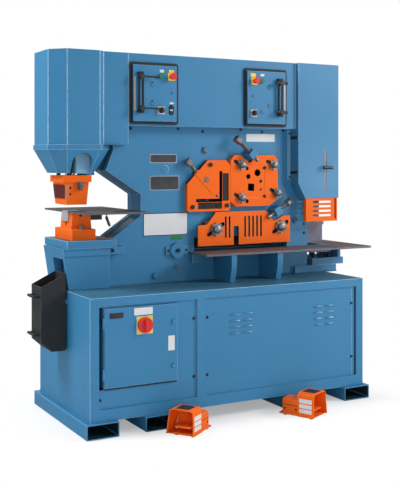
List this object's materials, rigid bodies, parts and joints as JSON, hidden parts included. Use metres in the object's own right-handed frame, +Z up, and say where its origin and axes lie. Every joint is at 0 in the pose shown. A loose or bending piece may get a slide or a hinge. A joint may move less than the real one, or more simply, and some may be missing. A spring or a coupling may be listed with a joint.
{
  "type": "hydraulic ironworker",
  "caption": "Blue and orange hydraulic ironworker with punch, angle, rod and flat bar shears, notcher, slug bin and foot pedals",
  "frame": {"origin": "on the floor, below the middle of the machine's outline", "axes": "+X to the machine's right, +Y to its back, +Z up"},
  "size_m": [2.203, 1.1326, 2.08],
  "materials": {
    "blue_paint": "semi-gloss machine enamel",
    "orange_paint": "semi-gloss enamel",
    "black_paint": "satin",
    "bright_steel": "machined",
    "table_steel": "ground and oiled",
    "black_steel": "black oxide",
    "cast_aluminium": "as cast",
    "black_rubber": "matt",
    "black_plastic": "moulded",
    "red_plastic": "moulded",
    "green_plastic": "moulded"
  },
  "bodies": {
    "machine": {"skid_tubes": "blue_paint", "base_cabinet": "blue_paint", "base_panels": "blue_paint", "electrical_enclosure": "blue_paint", "power_unit": "bright_steel", "main_frame": "blue_paint", "punch_support": "blue_paint", "bolster_plate": "blue_paint", "die_holder": "orange_paint", "die": "bright_steel", "punch_table": "table_steel", "stripper": "orange_paint", "hydraulic_cylinders": "blue_paint", "hood": "blue_paint", "hood_skirt": "blue_paint", "top_cover": "blue_paint", "control_boxes": "blue_paint", "control_fittings": "black_rubber", "angle_shear_plate": "orange_paint", "fixed_blades": "black_steel", "pivot_pin": "bright_steel", "frame_brackets": "blue_paint", "feed_table": "table_steel", "notcher_housing": "blue_paint", "notcher_die": "blue_paint", "foot_pedals": "orange_paint", "fasteners": "bright_steel"},
    "enclosure_door_body": {"enclosure_door": "blue_paint"},
    "disconnect_dial_body": {"disconnect_dial": "red_plastic"},
    "door_latch_upper_body": {"door_latch_upper": "blue_paint"},
    "door_latch_lower_body": {"door_latch_lower": "blue_paint"},
    "punch_ram_body": {"punch_ram": "bright_steel"},
    "shear_beam_body": {"shear_beam": "black_steel"},
    "notcher_ram_body": {"notcher_ram": "bright_steel", "notcher_blade": "black_steel"},
    "estop_left_body": {"estop_left": "red_plastic"},
    "start_left_body": {"start_left": "green_plastic"},
    "selector_left_body": {"selector_left": "black_plastic"},
    "stop_left_upper_body": {"stop_left_upper": "black_plastic"},
    "stop_left_lower_body": {"stop_left_lower": "black_plastic"},
    "estop_right_body": {"estop_right": "red_plastic"},
    "start_right_body": {"start_right": "green_plastic"},
    "selector_right_body": {"selector_right": "black_plastic"},
    "stop_right_upper_body": {"stop_right_upper": "black_plastic"},
    "stop_right_lower_body": {"stop_right_lower": "black_plastic"},
    "treadle_left_body": {"treadle_left": "orange_paint"},
    "treadle_right_body": {"treadle_right": "orange_paint"},
    "rod_shear_plate_body": {"rod_shear_plate": "orange_paint"},
    "flat_bar_guard_body": {"flat_bar_guard": "orange_paint"},
    "notcher_guard_body": {"notcher_guard": "orange_paint"},
    "slug_bin_body": {"slug_bin": "black_paint"},
    "rod_knob_upper_left_body": {"rod_knob_upper_left": "cast_aluminium"},
    "rod_knob_upper_right_body": {"rod_knob_upper_right": "cast_aluminium"},
    "rod_knob_lower_left_body": {"rod_knob_lower_left": "cast_aluminium"},
    "rod_knob_lower_right_body": {"rod_knob_lower_right": "cast_aluminium"},
    "guard_knob_left_body": {"guard_knob_left": "cast_aluminium"},
    "guard_knob_right_body": {"guard_knob_right": "cast_aluminium"},
    "upper_hold_screw_body": {"upper_hold_screw": "bright_steel"},
    "lower_hold_screw_body": {"lower_hold_screw": "bright_steel"},
    "angle_hold_down_body": {"angle_hold_down": "orange_paint"}
  },
  "joints": [
    {"name": "door_swing", "type": "hinge", "parent": "machine", "child": "enclosure_door_body", "pos_m": [-0.841, -0.29715, 0.4645], "axis": [0, 0, -1], "range_deg": [0, 110]},
    {"name": "disconnect_turn", "type": "hinge", "parent": "enclosure_door_body", "child": "disconnect_dial_body", "pos_m": [-0.60222, -0.31425, 0.57396], "axis": [0, 1, 0], "range_deg": [0, 90]},
    {"name": "latch_upper_turn", "type": "hinge", "parent": "enclosure_door_body", "child": "door_latch_upper_body", "pos_m": [-0.4275, -0.29425, 0.57817], "axis": [0, 1, 0], "range_deg": [0, 90]},
    {"name": "latch_lower_turn", "type": "hinge", "parent": "enclosure_door_body", "child": "door_latch_lower_body", "pos_m": [-0.4275, -0.29425, 0.3382], "axis": [0, 1, 0], "range_deg": [0, 90]},
    {"name": "punch_stroke", "type": "slide", "parent": "machine", "child": "punch_ram_body", "axis": [0, 0, -1], "range_m": [0, 0.076]},
    {"name": "beam_swing", "type": "hinge", "parent": "machine", "child": "shear_beam_body", "pos_m": [-0.1925, 0.21875, 0.922], "axis": [0, 1, 0], "range_deg": [0, 3.5]},
    {"name": "notcher_stroke", "type": "slide", "parent": "machine", "child": "notcher_ram_body", "axis": [0, 0, -1], "range_m": [0, 0.062]},
    {"name": "estop_left_press", "type": "slide", "parent": "machine", "child": "estop_left_body", "axis": [0, 1, 0], "range_m": [0, 0.006]},
    {"name": "start_left_press", "type": "slide", "parent": "machine", "child": "start_left_body", "axis": [0, 1, 0], "range_m": [0, 0.006], "stiffness_N_per_m": 300, "springref_m": -0.004},
    {"name": "selector_left_turn", "type": "hinge", "parent": "machine", "child": "selector_left_body", "pos_m": [-0.34136, 0.02575, 1.7522], "axis": [0, 1, 0], "range_deg": [-45, 45]},
    {"name": "stop_left_upper_set", "type": "slide", "parent": "machine", "child": "stop_left_upper_body", "axis": [0, 0, -1], "range_m": [0, 0.06]},
    {"name": "stop_left_lower_set", "type": "slide", "parent": "machine", "child": "stop_left_lower_body", "axis": [0, 0, 1], "range_m": [0, 0.06]},
    {"name": "estop_right_press", "type": "slide", "parent": "machine", "child": "estop_right_body", "axis": [0, 1, 0], "range_m": [0, 0.006]},
    {"name": "start_right_press", "type": "slide", "parent": "machine", "child": "start_right_body", "axis": [0, 1, 0], "range_m": [0, 0.006], "stiffness_N_per_m": 300, "springref_m": -0.004},
    {"name": "selector_right_turn", "type": "hinge", "parent": "machine", "child": "selector_right_body", "pos_m": [0.29659, 0.02575, 1.7522], "axis": [0, 1, 0], "range_deg": [-45, 45]},
    {"name": "stop_right_upper_set", "type": "slide", "parent": "machine", "child": "stop_right_upper_body", "axis": [0, 0, -1], "range_m": [0, 0.06]},
    {"name": "stop_right_lower_set", "type": "slide", "parent": "machine", "child": "stop_right_lower_body", "axis": [0, 0, 1], "range_m": [0, 0.06]},
    {"name": "treadle_left_press", "type": "hinge", "parent": "machine", "child": "treadle_left_body", "pos_m": [-0.39829, -0.43014, 0.046], "axis": [0.5736, -0.8192, 0], "range_deg": [0, 10], "stiffness_Nm_per_rad": 8, "springref_deg": -8.02},
    {"name": "treadle_right_press", "type": "hinge", "parent": "machine", "child": "treadle_right_body", "pos_m": [0.34009, -0.45288, 0.046], "axis": [0.8988, 0.4384, 0], "range_deg": [0, 10], "stiffness_Nm_per_rad": 8, "springref_deg": -8.02},
    {"name": "rod_plate_shift", "type": "slide", "parent": "machine", "child": "rod_shear_plate_body", "axis": [0.891, 0, -0.454], "range_m": [0, 0.012]},
    {"name": "bar_guard_shift", "type": "slide", "parent": "machine", "child": "flat_bar_guard_body", "axis": [-0.8572, 0, -0.515], "range_m": [0, 0.05]},
    {"name": "notcher_guard_lift", "type": "slide", "parent": "machine", "child": "notcher_guard_body", "axis": [0, 0, 1], "range_m": [-0.13, 0.1]},
    {"name": "bin_lift", "type": "slide", "parent": "machine", "child": "slug_bin_body", "axis": [0, 0, 1], "range_m": [0, 0.03]},
    {"name": "rod_knob_upper_left_turn", "type": "hinge", "parent": "machine", "child": "rod_knob_upper_left_body", "pos_m": [0.24184, 0.09075, 1.43163], "axis": [0, 1, 0], "continuous": true},
    {"name": "rod_knob_upper_right_turn", "type": "hinge", "parent": "machine", "child": "rod_knob_upper_right_body", "pos_m": [0.47849, 0.09075, 1.43163], "axis": [0, 1, 0], "continuous": true},
    {"name": "rod_knob_lower_left_turn", "type": "hinge", "parent": "machine", "child": "rod_knob_lower_left_body", "pos_m": [0.24184, 0.09075, 1.22715], "axis": [0, 1, 0], "continuous": true},
    {"name": "rod_knob_lower_right_turn", "type": "hinge", "parent": "machine", "child": "rod_knob_lower_right_body", "pos_m": [0.50452, 0.09075, 1.25291], "axis": [0, 1, 0], "continuous": true},
    {"name": "guard_knob_left_turn", "type": "hinge", "parent": "machine", "child": "guard_knob_left_body", "pos_m": [0.05353, 0.07775, 1.04096], "axis": [0, 1, 0], "continuous": true},
    {"name": "guard_knob_right_turn", "type": "hinge", "parent": "machine", "child": "guard_knob_right_body", "pos_m": [0.52368, 0.07775, 1.04096], "axis": [0, 1, 0], "continuous": true},
    {"name": "upper_hold_set", "type": "slide", "parent": "machine", "child": "upper_hold_screw_body", "axis": [0.7547, 0, -0.6561], "range_m": [0, 0.05]},
    {"name": "lower_hold_set", "type": "slide", "parent": "machine", "child": "lower_hold_screw_body", "axis": [-0.8572, 0, -0.515], "range_m": [0, 0.02]},
    {"name": "angle_hold_set", "type": "slide", "parent": "machine", "child": "angle_hold_down_body", "axis": [-0.7071, 0, 0.7071], "range_m": [0, 0.05]}
  ],
  "couplings": [
    {"joint": "notcher_stroke", "follows": "beam_swing", "m_per_rad": 1}
  ]
}
